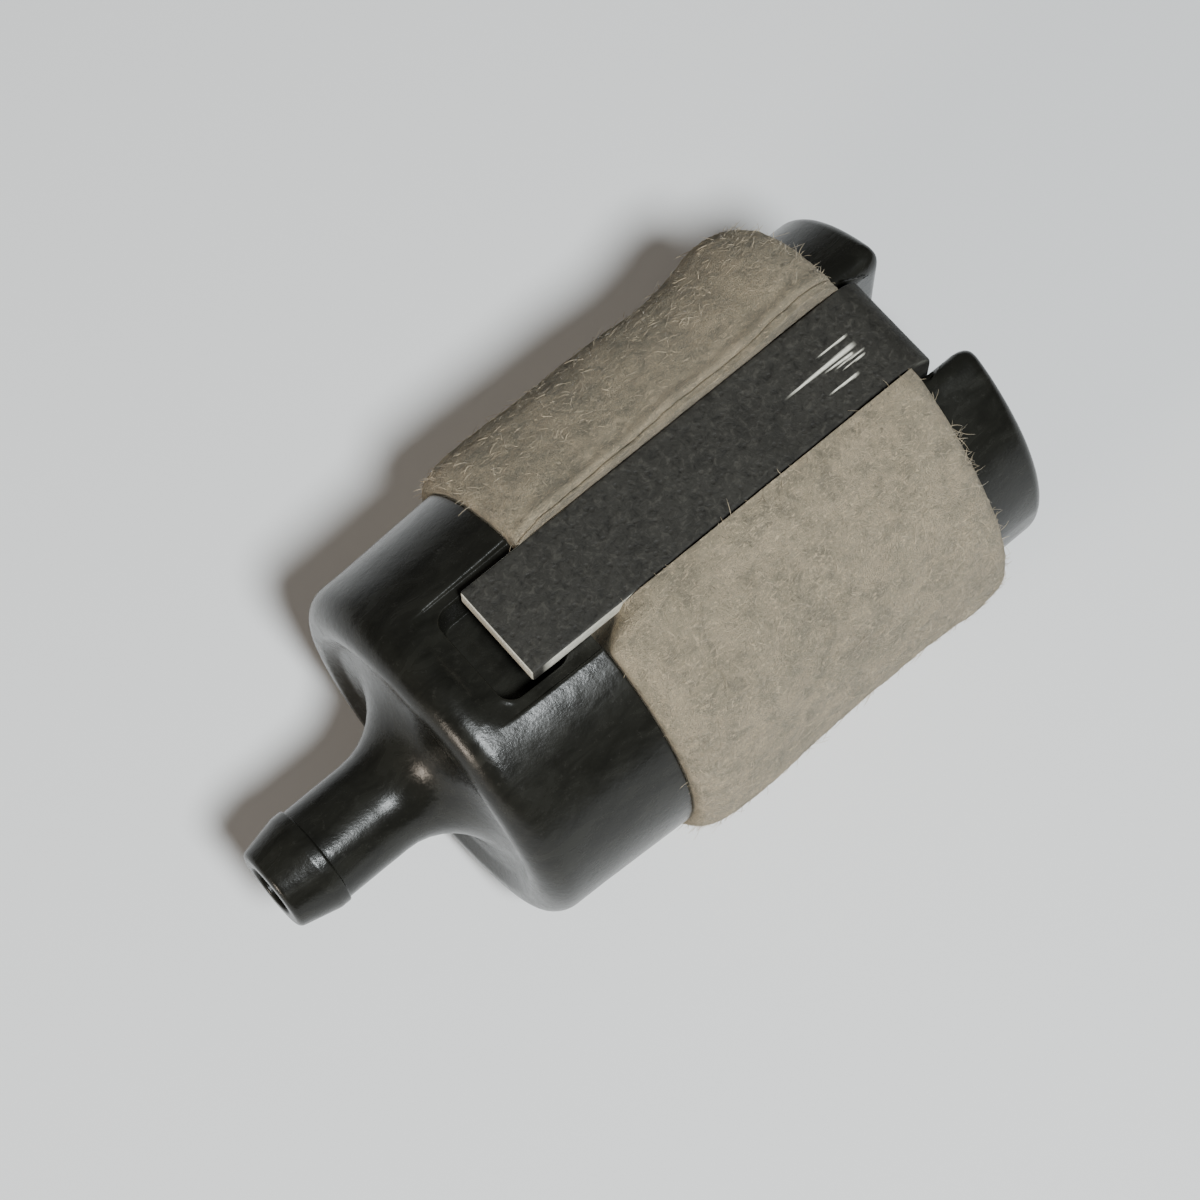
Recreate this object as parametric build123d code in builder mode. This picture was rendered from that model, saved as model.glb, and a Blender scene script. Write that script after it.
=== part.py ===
"""Weighted in-tank fuel pickup filter for a small two-stroke engine.

The filter lies along X: the hose nipple points to -X and the end cap to +X.
A moulded head carries a cage tube inside a thick felt sleeve, an end cap closes
the tube, and a bent steel strap holds the stack together and sinks it in the tank.
The filter lies on its felt with one leg of the strap above and the other below.
"""

from build123d import *
from math import sqrt
import os

os.makedirs("parts", exist_ok=True)

# ---- lengths along the filter, in millimetres ----
nipple_length = 8.8       # hose nipple, from its tip to the head's end face
head_length = 7.8         # head, from its end face to its rim
felt_length = 18.0        # felt that shows between the head's rim and the end cap
lobe_height = 3.4         # end cap's lobes, where they stand out of the felt

# ---- hose nipple ----
outlet_bore_d = 2.5       # fuel passage through the nipple
tip_d = 4.1               # nipple across its tip
tip_edge_radius = 0.3     # rounding of the tip's edge
barb_d = 5.0              # across the barb
barb_ramp = 1.95          # tapered stretch from the tip up to the barb
barb_land = 0.6           # straight stretch across the barb's crest
neck_d = 4.6              # nipple behind the barb
root_fillet = 3.4         # neck into the head's end face

# ---- felt sleeve ----
felt_d = 20.3             # sets the filter's diameter: head, cap and strap follow it
felt_edge_radius = 1.0

# ---- head ----
felt_overhang = 0.85      # felt stands this far over the head's rim
skirt_draft = 0.3         # shoulder is smaller than the rim, on the radius
shoulder_radius = 1.5
end_face_dish = 0.4       # how far the end face sinks inside its raised ring
ring_inset = 1.7          # raised ring's crest, in from the shoulder, on the radius
dish_slope = 1.0          # from the ring's crest down to the dish's floor, on the radius
ring_crest_radius = 0.8
dish_radius = 1.5
skirt_wall = 1.3          # wall round the cored-out pockets
coring_depth = 5.4        # depth of the two cored-out pockets
hub_wall = 1.3            # wall of the socket that holds the cage tube
socket_depth = 4.0        # how deep the cage tube's spigot sits in the head
funnel_d = 4.4            # passage where it opens into the cage tube
funnel_length = 1.8       # cone from the funnel down to the outlet bore

# ---- strap notches in the head ----
notch_side = 0.825        # outer recess, past each edge of the strap
notch_ledge = 1.3         # outer recess, past the blind pocket's far wall
notch_corner = 0.8
pocket_end_room = 1.4     # blind pocket, past the end of the strap's leg
pocket_depth = 1.4        # blind pocket below the recess's floor
pocket_corner = 0.7
sill_length = 1.2         # ledge between the rim and the blind pocket
block_margin = 0.7        # solid plastic each side of the notch

# ---- steel strap ----
strap_width = 4.85
strap_thickness = 1.0
strap_stand = 0.15        # legs' outer faces stand this far over the head's rim
strap_bend_inside = 0.5   # inside radius of the two bends
strap_end_corner = 0.4
strap_grip = 3.2          # how far each leg reaches in over the head's rim
strap_sink = 1.8          # crossbar's outer face below the lobes' end faces

# ---- cage tube and screen ----
cage_bore_d = 5.0
cage_wall = 1.2
spigot_step = 0.4         # shoulder between the cage tube and its spigot
window_rows = 4           # windows round the tube
window_count = 4          # windows along the tube
window_width = 2.2
window_length = 2.6
screen_thickness = 0.2

# ---- end cap ----
cap_inset = 0.3           # end cap is smaller than the head's rim, on the radius
cap_floor = 1.2           # disc under the strap's crossbar
cap_edge_radius = 0.6
cap_plug_length = 4.5     # plug that closes the cage tube
cap_plug_chamfer = 0.4

# ---- clearances ----
strap_side_gap = 0.1      # strap to the walls beside it
strap_seat_gap = 0.05     # strap to the floor under it
plug_gap = 0.05           # cap's plug in the cage tube, on the radius
spigot_gap = 0.02         # cage tube's spigot in the head, on the radius
screen_gap = 0.05         # screen round the cage tube, on the radius
felt_bore_gap = 0.2       # felt round the screen, on the radius
felt_seat_gap = 0.1       # end cap's rim in the felt, on the radius
end_gap = 0.05            # between pieces that meet end to end
channel_gap = 0.225       # strap's crossbar in the end cap's channel, each side
cut_over = 1.0            # how far a cut runs past the surface it opens

# ---- stations along X, with the whole filter centred on X = 0 ----
total_length = nipple_length + head_length + felt_length + lobe_height
tip_x = -total_length / 2
face_x = tip_x + nipple_length
rim_x = face_x + head_length
felt_end_x = rim_x + felt_length
cap_end_x = felt_end_x + lobe_height
crossbar_out_x = cap_end_x - strap_sink
crossbar_in_x = crossbar_out_x - strap_thickness
channel_x = crossbar_in_x - strap_seat_gap
cap_in_x = channel_x - cap_floor
socket_x = rim_x - socket_depth
cage_end_x = cap_in_x - end_gap

# ---- distances from the axis ----
rim_r = felt_d / 2 - felt_overhang
shoulder_r = rim_r - skirt_draft
ring_r = shoulder_r - ring_inset
cap_r = rim_r - cap_inset
leg_out = rim_r + strap_stand
leg_in = leg_out - strap_thickness
seat = leg_in - strap_seat_gap
cage_r = cage_bore_d / 2 + cage_wall
spigot_r = cage_r - spigot_step
socket_r = spigot_r + spigot_gap
hub_r = socket_r + hub_wall
screen_in_r = cage_r + screen_gap
screen_out_r = screen_in_r + screen_thickness
felt_bore_r = screen_out_r + felt_bore_gap
felt_seat_r = cap_r + felt_seat_gap
groove_width = strap_width + 2 * strap_side_gap
channel_width = strap_width + 2 * channel_gap

# ---- strap's bends, and the notches in the head that take its legs ----
strap_bend_outside = strap_bend_inside + strap_thickness
notch_width = strap_width + 2 * notch_side
pocket_reach = strap_grip + pocket_end_room
notch_length = pocket_reach + notch_ledge

# The filter lies on the felt's two shoulders beside the lower leg of the strap.
axis_height = sqrt((felt_d / 2) ** 2 - (groove_width / 2) ** 2)
filter_axis = Axis((0, 0, axis_height), (1, 0, 0))


def across(x):
    """Plane square to the filter's axis at x: local x is +Y and local y is +Z."""
    return Plane(origin=(x, 0, axis_height), x_dir=(0, 1, 0), z_dir=(1, 0, 0))


def along():
    """Plane through the filter's axis: local x is +X and local y is +Z."""
    return Plane(origin=(0, 0, axis_height), x_dir=(1, 0, 0), z_dir=(0, -1, 0))


def outward(side, distance):
    """Plane facing up (side 1) or down (side -1) at a distance from the axis."""
    origin = (0, 0, axis_height + side * distance)
    return Plane(origin=origin, x_dir=(1, 0, 0), z_dir=(0, 0, side))


# ---- head: hose nipple, rounded shoulder, skirt with two strap notches ----
head_outline = [
    (tip_x, outlet_bore_d / 2, 0),
    (tip_x, tip_d / 2, tip_edge_radius),
    (tip_x + barb_ramp, barb_d / 2, 0),
    (tip_x + barb_ramp + barb_land, barb_d / 2, 0),
    (tip_x + barb_ramp + barb_land, neck_d / 2, 0),
    (face_x + end_face_dish, neck_d / 2, root_fillet),
    (face_x + end_face_dish, ring_r - dish_slope, dish_radius),
    (face_x, ring_r, ring_crest_radius),
    (face_x, shoulder_r, shoulder_radius),
    (rim_x, rim_r, 0),
    (rim_x, socket_r, 0),
    (socket_x, socket_r, 0),
    (socket_x, funnel_d / 2, 0),
    (socket_x - funnel_length, outlet_bore_d / 2, 0),
]

with BuildPart() as head:
    with BuildSketch(along()):
        with BuildLine():
            FilletPolyline(
                [(x, r) for x, r, _ in head_outline],
                radius=[corner for _, _, corner in head_outline],
                close=True,
            )
        make_face()
    revolve(axis=filter_axis)
    # two pockets cored out of the skirt, left and right of the notch blocks
    with BuildSketch(across(rim_x)):
        Circle(rim_r - skirt_wall)
        Circle(hub_r, mode=Mode.SUBTRACT)
        Rectangle(notch_width + 2 * block_margin, 2 * rim_r, mode=Mode.SUBTRACT)
    extrude(amount=-coring_depth, mode=Mode.SUBTRACT)
    for side in (1, -1):
        # outer recess, open at the rim, with the strap lying just over its floor
        with BuildSketch(outward(side, seat)):
            with Locations((rim_x + (cut_over - notch_length) / 2, 0)):
                RectangleRounded(notch_length + cut_over, notch_width, notch_corner)
        extrude(amount=rim_r, mode=Mode.SUBTRACT)
        # blind pocket under the end of the strap's leg
        with BuildSketch(outward(side, seat - pocket_depth)):
            with Locations((rim_x - (pocket_reach + sill_length) / 2, 0)):
                RectangleRounded(pocket_reach - sill_length, groove_width, pocket_corner)
        extrude(amount=pocket_depth + cut_over, mode=Mode.SUBTRACT)

# ---- cage tube: spigot in the head's socket, windows under the felt ----
window_start = rim_x + window_length
window_pitch = (cage_end_x - cap_plug_length - window_start) / window_count

with BuildPart() as cage_tube:
    with BuildSketch(across(socket_x + end_gap)):
        Circle(spigot_r)
        Circle(cage_bore_d / 2, mode=Mode.SUBTRACT)
    extrude(amount=cage_end_x - socket_x - end_gap)
    with BuildSketch(across(rim_x + end_gap)):
        Circle(cage_r)
        Circle(cage_bore_d / 2, mode=Mode.SUBTRACT)
    extrude(amount=cage_end_x - rim_x - end_gap)
    for row in range(window_rows):
        turn = 360 / window_rows * (row + 0.5)
        window_plane = along().rotated((turn, 0, 0))
        with BuildSketch(window_plane):
            for number in range(window_count):
                with Locations((window_start + window_pitch * (number + 0.5), 0)):
                    RectangleRounded(window_length, window_width, window_width / 4)
        extrude(amount=cage_r + cut_over, mode=Mode.SUBTRACT)

# ---- screen: fine mesh sleeve round the cage tube ----
with BuildPart() as screen:
    with BuildSketch(across(rim_x + 2 * end_gap)):
        Circle(screen_out_r)
        Circle(screen_in_r, mode=Mode.SUBTRACT)
    extrude(amount=cage_end_x - rim_x - 3 * end_gap)

# ---- felt sleeve: thick ring, seat for the end cap, a groove under each leg ----
felt_outline = [
    (rim_x + end_gap, felt_bore_r, 0),
    (rim_x + end_gap, felt_d / 2, felt_edge_radius),
    (felt_end_x, felt_d / 2, felt_edge_radius),
    (felt_end_x, felt_seat_r, 0),
    (cap_in_x - end_gap, felt_seat_r, 0),
    (cap_in_x - end_gap, felt_bore_r, 0),
]

with BuildPart() as felt_sleeve:
    with BuildSketch(along()):
        with BuildLine():
            FilletPolyline(
                [(x, r) for x, r, _ in felt_outline],
                radius=[corner for _, _, corner in felt_outline],
                close=True,
            )
        make_face()
    revolve(axis=filter_axis)
    for side in (1, -1):
        with BuildSketch(outward(side, seat)):
            with Locations(((rim_x + felt_end_x) / 2, 0)):
                Rectangle(felt_length + 2 * cut_over, groove_width)
        extrude(amount=felt_d / 2, mode=Mode.SUBTRACT)

# ---- end cap: disc, two lobes beside the strap's channel, plug for the tube ----
with BuildPart() as end_cap:
    with BuildSketch(along()):
        with BuildLine():
            FilletPolyline(
                (cap_in_x, 0),
                (cap_in_x, cap_r),
                (cap_end_x, cap_r),
                (cap_end_x, 0),
                radius=[0, 0, cap_edge_radius, 0],
                close=True,
            )
        make_face()
    revolve(axis=filter_axis)
    # channel for the strap, which also trims the disc under the strap's two legs
    with BuildSketch(along()):
        with Locations(((cap_in_x + cap_end_x) / 2, 0)):
            Rectangle(cap_end_x - cap_in_x + 2 * cut_over, 2 * (cap_r + cut_over))
        with Locations((channel_x - seat, 0)):
            corner = strap_bend_inside - strap_seat_gap
            RectangleRounded(2 * seat, 2 * seat, corner, mode=Mode.SUBTRACT)
    extrude(amount=channel_width / 2, both=True, mode=Mode.SUBTRACT)
    with BuildSketch(across(cap_in_x)):
        Circle(cage_bore_d / 2 - plug_gap)
    extrude(amount=-cap_plug_length)
    chamfer(end_cap.edges().sort_by(Axis.X)[0], length=cap_plug_chamfer)

# ---- weight strap: one flat steel strip bent into a U over the end cap ----
with BuildPart() as weight_strap:
    with BuildSketch(along()):
        with BuildLine():
            FilletPolyline(
                (rim_x - strap_grip, leg_out),
                (crossbar_out_x, leg_out),
                (crossbar_out_x, -leg_out),
                (rim_x - strap_grip, -leg_out),
                radius=strap_bend_outside,
            )
            Line((rim_x - strap_grip, -leg_out), (rim_x - strap_grip, -leg_in))
            FilletPolyline(
                (rim_x - strap_grip, -leg_in),
                (crossbar_in_x, -leg_in),
                (crossbar_in_x, leg_in),
                (rim_x - strap_grip, leg_in),
                radius=strap_bend_inside,
            )
            Line((rim_x - strap_grip, leg_in), (rim_x - strap_grip, leg_out))
        make_face()
    extrude(amount=strap_width / 2, both=True)
    leg_corners = weight_strap.edges().filter_by(Axis.Z).group_by(Axis.X)[0]
    fillet(leg_corners, radius=strap_end_corner)

# ---- write each piece as its own file ----
pieces = {
    "head": head,
    "cage_tube": cage_tube,
    "screen": screen,
    "felt_sleeve": felt_sleeve,
    "end_cap": end_cap,
    "weight_strap": weight_strap,
}

for piece_name, piece in pieces.items():
    piece.part.label = piece_name
    export_step(piece.part, f"parts/{piece_name}.step")
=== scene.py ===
"""Looks of a weighted fuel pickup filter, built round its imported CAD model.

The file is laid out as a Blender add-on and is run as a script. Every visible piece
is a surface worked out with numpy in millimetres, in the model's own frame: X runs
from the hose nipple to the end cap, and Z points up out of the steel strap.
"""

import bpy
import numpy as np
from mathutils import Matrix, Vector


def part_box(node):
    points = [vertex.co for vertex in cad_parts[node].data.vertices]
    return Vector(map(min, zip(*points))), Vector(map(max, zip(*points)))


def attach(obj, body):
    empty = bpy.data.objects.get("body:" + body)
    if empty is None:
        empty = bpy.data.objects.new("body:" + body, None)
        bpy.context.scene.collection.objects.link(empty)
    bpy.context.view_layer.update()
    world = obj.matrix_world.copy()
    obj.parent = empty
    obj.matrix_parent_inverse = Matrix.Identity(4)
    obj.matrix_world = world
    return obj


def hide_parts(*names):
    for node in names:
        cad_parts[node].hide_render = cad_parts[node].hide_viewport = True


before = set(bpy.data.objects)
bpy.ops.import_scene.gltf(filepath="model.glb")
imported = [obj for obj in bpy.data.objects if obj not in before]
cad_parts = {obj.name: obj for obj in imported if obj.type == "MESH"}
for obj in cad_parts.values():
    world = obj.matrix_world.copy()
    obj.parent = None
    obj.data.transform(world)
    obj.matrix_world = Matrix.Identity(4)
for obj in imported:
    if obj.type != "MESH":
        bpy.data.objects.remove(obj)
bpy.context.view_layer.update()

bl_info = {
    "name": "Fuel Pickup Filter",
    "version": (1, 0, 0),
    "blender": (4, 5, 0),
    "location": "3D View > Sidebar > Fuel Filter",
    "description": "Moulded head, felt sleeve, steel strap and end cap of a fuel pickup filter",
    "category": "Object",
}

MM = 0.001                # one millimetre in Blender's metres


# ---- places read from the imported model, in millimetres ----


def node_box(node):
    """Lowest and highest corner of a CAD node, in millimetres."""
    low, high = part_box(node)
    return np.array(low) / MM, np.array(high) / MM


HEAD_LOW, HEAD_HIGH = node_box("head")
FELT_LOW, FELT_HIGH = node_box("felt_sleeve")
CAP_LOW, CAP_HIGH = node_box("end_cap")
STRAP_LOW, STRAP_HIGH = node_box("weight_strap")
SCREEN_LOW, SCREEN_HIGH = node_box("screen")

AXIS_Z = (SCREEN_LOW[2] + SCREEN_HIGH[2]) / 2
TIP_X = HEAD_LOW[0]
RIM_X = HEAD_HIGH[0]
RIM_R = HEAD_HIGH[1]
FELT_R = FELT_HIGH[1]
FELT_END_X = FELT_HIGH[0]
CAP_R = CAP_HIGH[1]
CAP_END_X = CAP_HIGH[0]
STRAP_END_X = STRAP_LOW[0]
CROSSBAR_X = STRAP_HIGH[0]
STRAP_HALF = STRAP_HIGH[1]
LEG_OUT = STRAP_HIGH[2] - AXIS_Z
TO_AXIS = np.array([0, 0, AXIS_Z])   # lifts a shape made round X to the filter's axis


# ---- number helpers ----


def stacked(*parts):
    """Arrays or numbers, brought to one shape and stacked along a new last axis."""
    return np.stack(np.broadcast_arrays(*parts), axis=-1)


def round_axis(x, radius, angle):
    """Points (x, radius sin a, radius cos a): turned round the axis from +Z towards +Y."""
    return stacked(x, radius * np.sin(angle), radius * np.cos(angle))


def smooth(low, high, value):
    """0 below low, 1 above high, and the cubic 3t^2 - 2t^3 in between."""
    t = np.clip((value - low) / (high - low), 0, 1)
    return t * t * (3 - 2 * t)


def bump(centre, width, value):
    """Bell curve of height 1 round centre: e to the minus of the squared offset over width."""
    return np.exp(-(((value - centre) / width) ** 2))


def crowded(low, high, count, places, crowd, width):
    """count numbers from low to high, packed closer round places.

    The spacing is the inverse of 1 plus crowd times a bell curve round each place.
    """
    fine = np.linspace(low, high, 4001)
    density = 1 + crowd * sum(bump(place, width, fine) for place in places)
    total = np.concatenate([[0], np.cumsum((density[1:] + density[:-1]) / 2)])
    return np.interp(np.linspace(0, total[-1], count), total, fine)


def unit(vector):
    """Vectors of length 1 in the same directions."""
    return vector / np.linalg.norm(vector, axis=-1, keepdims=True)


def lattice_noise(points, seed):
    """Smooth random value from -1 to 1 at each point.

    Hashed random numbers sit on the corners of a unit lattice, and each point blends
    its cell's eight corners with the weights 3t^2 - 2t^3.
    """
    cell = np.floor(points).astype(np.int64)
    part = points - cell
    weight = part * part * (3 - 2 * part)
    value = np.zeros(points.shape[:-1])
    for corner in np.ndindex(2, 2, 2):
        node = cell + np.array(corner)
        mixed = node[..., 0] * 73856093 ^ node[..., 1] * 19349663 ^ node[..., 2] * 83492791
        mixed = (mixed ^ (seed * 40503)) * 1274126177
        mixed = (mixed ^ (mixed >> 15)) * 668265263
        random_value = ((mixed >> 8) & 0xFFFF) / 32767.5 - 1
        share = np.prod(np.where(np.array(corner) == 1, weight, 1 - weight), axis=-1)
        value += random_value * share
    return value


def layered_noise(points, size, layers, seed):
    """Sum of lattice noises, each half the size and a bit over half the height of the last."""
    value = np.zeros(points.shape[:-1])
    height = 1.0
    for layer in range(layers):
        value += height * lattice_noise(points / size + 17.3 * layer, seed + layer)
        size = size / 2
        height = height * 0.55
    return value


def rounded_path(corners, arc_steps):
    """Dense points along a run of corners (x, radius from the axis, rounding, steps).

    Each corner is replaced by the circle arc tangent to its two sides, and the straight
    stretch that leads to it is cut into its steps.
    """
    place = np.array([corner[:2] for corner in corners], float)
    path = [place[:1]]
    start = place[0]
    for number in range(1, len(corners)):
        rounding, steps = corners[number][2:]
        if rounding == 0 or number == len(corners) - 1:
            share = np.linspace(0, 1, steps + 1)[1:, None]
            path.append(start + (place[number] - start) * share)
            start = place[number]
            continue
        back = place[number - 1] - place[number]
        ahead = place[number + 1] - place[number]
        back /= np.linalg.norm(back)
        ahead /= np.linalg.norm(ahead)
        half = np.arccos(np.clip(back @ ahead, -1, 1)) / 2
        reach = rounding / np.tan(half)
        middle = (back + ahead) / np.linalg.norm(back + ahead)
        centre = place[number] + middle * (rounding / np.sin(half))
        first = place[number] + back * reach
        share = np.linspace(0, 1, steps + 1)[1:, None]
        path.append(start + (first - start) * share)
        sweep = np.pi - 2 * half
        side = -back
        outward = (first - centre) / rounding
        angle = np.linspace(0, sweep, arc_steps + 1)[1:, None]
        path.append(centre + rounding * (outward * np.cos(angle) + side * np.sin(angle)))
        start = place[number] + ahead * reach
    return np.vstack(path)


def column_angles(across, radius, gap_count):
    """Angles of a grid's columns round the axis, from +Z towards +Y.

    They are arcsin(across / radius) on top and the same below, with even steps between.
    """
    top = np.arcsin(across / radius)
    gap = np.linspace(top[-1], np.pi - top[-1], gap_count)[1:-1]
    return np.concatenate([top, gap, top + np.pi, gap + np.pi])


# ---- mesh helpers ----


def closed_grid(points, row_loop, column_loop):
    """Vertices and faces of a grid of points, closed on itself where a loop flag is set.

    A pair of open row ends is closed by a fan of triangles to its middle point. The
    faces are turned outwards by the sign of the volume they hold.
    """
    rows, columns = points.shape[:2]
    index = np.arange(rows * columns).reshape(rows, columns)
    if row_loop:
        index = np.vstack([index, index[:1]])
    if column_loop:
        index = np.hstack([index, index[:, :1]])
    quads = stacked(index[:-1, :-1], index[1:, :-1], index[1:, 1:], index[:-1, 1:])
    triangles = np.concatenate([quads[..., [0, 1, 2]], quads[..., [0, 2, 3]]]).reshape(-1, 3)
    vertices = points.reshape(-1, 3)
    fans = np.zeros((0, 3), int)
    if not row_loop:
        middle = np.array([points[0].mean(0), points[-1].mean(0)])
        first, last = index[0], index[-1]
        count = len(vertices)
        fans = np.concatenate([
            stacked(count, first[:-1], first[1:]),
            stacked(count + 1, last[1:], last[:-1]),
        ])
        vertices = np.vstack([vertices, middle])
    a, b, c = (vertices[np.concatenate([triangles, fans])[:, k]] for k in range(3))
    volume = np.einsum("ij,ij->", np.cross(a, b), c)
    quads = quads.reshape(-1, 4)
    if volume < 0:
        quads = quads[:, ::-1]
        fans = fans[:, ::-1]
    return vertices, quads, fans


def make_piece(name, shells, material, attributes=None):
    """Blender object from closed shells (vertices, quads, triangles) in millimetres."""
    firsts = np.cumsum([0] + [len(shell[0]) for shell in shells])
    vertices = np.vstack([shell[0] for shell in shells])
    quads, triangles = (
        np.vstack([shell[part] + first for shell, first in zip(shells, firsts)])
        for part in (1, 2)
    )
    corners = np.concatenate([quads.ravel(), triangles.ravel()])
    starts = np.concatenate([
        np.arange(len(quads)) * 4,
        quads.size + np.arange(len(triangles)) * 3,
    ])
    mesh = bpy.data.meshes.new(name)
    mesh.vertices.add(len(vertices))
    mesh.vertices.foreach_set("co", (vertices * MM).astype(np.float32).ravel())
    mesh.loops.add(len(corners))
    mesh.loops.foreach_set("vertex_index", corners.astype(np.int32))
    mesh.polygons.add(len(starts))
    mesh.polygons.foreach_set("loop_start", starts.astype(np.int32))
    mesh.polygons.foreach_set("use_smooth", np.ones(len(starts), bool))
    for label, values in (attributes or {}).items():
        attribute = mesh.attributes.new(label, "FLOAT", "POINT")
        attribute.data.foreach_set("value", values.astype(np.float32).ravel())
    mesh.update(calc_edges=True)
    mesh.materials.append(material)
    piece = bpy.data.objects.new(name, mesh)
    bpy.context.scene.collection.objects.link(piece)
    return piece


def tubes(centres, side, lift, radius, sides, loop=False):
    """Thin closed tubes round many paths at once.

    centres is (tubes, steps, 3); side and lift are unit vectors square to the path, and
    the ring at each step is centre + radius * (cos a * side + sin a * lift). The skin
    faces outwards where side cross lift points along the path. Both ends close to a
    point on the path, or meet each other where loop is set.
    """
    turn = np.arange(sides) / sides * 2 * np.pi
    ring = side[..., None, :] * np.cos(turn)[:, None] + lift[..., None, :] * np.sin(turn)[:, None]
    skin = centres[..., None, :] + radius[..., None, None] * ring
    count, steps = centres.shape[:2]
    index = np.arange(count * steps * sides).reshape(count, steps, sides)
    index = np.concatenate([index, index[..., :1]], axis=-1)
    if loop:
        index = np.concatenate([index, index[:, :1]], axis=1)
    quads = stacked(
        index[:, :-1, :-1], index[:, :-1, 1:], index[:, 1:, 1:], index[:, 1:, :-1]
    ).reshape(-1, 4)
    vertices = skin.reshape(-1, 3)
    caps = np.zeros((0, 3), int)
    if not loop:
        root = (len(vertices) + np.arange(count))[:, None]
        first = stacked(index[:, 0, 1:], index[:, 0, :-1], root)
        last = stacked(index[:, -1, :-1], index[:, -1, 1:], root + count)
        caps = np.concatenate([first, last]).reshape(-1, 3)
        vertices = np.vstack([vertices, centres[:, 0], centres[:, -1]])
    return vertices, quads, caps


# ---- sizes and colours that a user would change ----


def length_property(name, description, default, low, high, precision=5):
    """A length that is given here in millimetres."""
    return bpy.props.FloatProperty(
        name=name, description=description, default=default * MM, min=low * MM, max=high * MM,
        unit="LENGTH", precision=precision,
    )


def colour_property(name, description, default):
    """A colour, in linear red, green and blue."""
    return bpy.props.FloatVectorProperty(
        name=name, description=description, default=default, min=0, max=1, subtype="COLOR",
    )


class FilterSizes(bpy.types.PropertyGroup):
    """Sizes of the details that the CAD pieces leave plain."""

    edge_softness: length_property(
        "Notch edge rounding", "Rounding of the moulded edges round the strap's notch",
        0.42, 0.05, 0.8,
    )
    strap_edge: length_property(
        "Strap edge rounding", "Rounding of the strap's sheared edges",
        0.09, 0.02, 0.3,
    )
    felt_flare: length_property(
        "Felt flare", "How far the felt swells out beside the end cap",
        0.42, 0.0, 1.0,
    )
    fibre_count: bpy.props.IntProperty(
        name="Felt fibres",
        description="Loose fibres that stand out of the felt",
        default=7800, min=0, max=9500,
    )
    fibre_radius: length_property(
        "Fibre radius", "Half the thickness of one felt fibre",
        0.011, 0.002, 0.05, precision=6,
    )
    thread_pitch: length_property(
        "Screen pitch", "Distance between neighbouring threads of the mesh screen",
        0.4, 0.2, 1.0,
    )


class FilterColours(bpy.types.PropertyGroup):
    """Colours of the filter's finishes and of the stage."""

    plastic: colour_property("Black plastic", "Moulded head and end cap", (0.012, 0.0118, 0.0095))
    felt: colour_property("Felt", "Pressed wool felt, mostly lit part", (0.54, 0.445, 0.305))
    felt_soiled: colour_property(
        "Soiled felt", "Felt where fuel dirt has settled", (0.27, 0.235, 0.17),
    )
    coating: colour_property(
        "Strap coating", "Dark coating on the steel strap", (0.026, 0.0245, 0.0205),
    )
    # Bare steel: the strap's real sheared edges and scratches, given a near-white cream tone that
    # is partly painted highlight
    bare_steel_with_highlight: colour_property(
        "Bare steel", "Sheared edges and scratches of the strap", (0.95, 0.90, 0.78),
    )
    nylon: colour_property("Natural nylon", "Cage tube and mesh screen", (0.72, 0.69, 0.60))
    floor: colour_property("Floor", "Pale floor under the filter", (0.9, 0.9, 0.9))


# ---- material helpers ----


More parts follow.
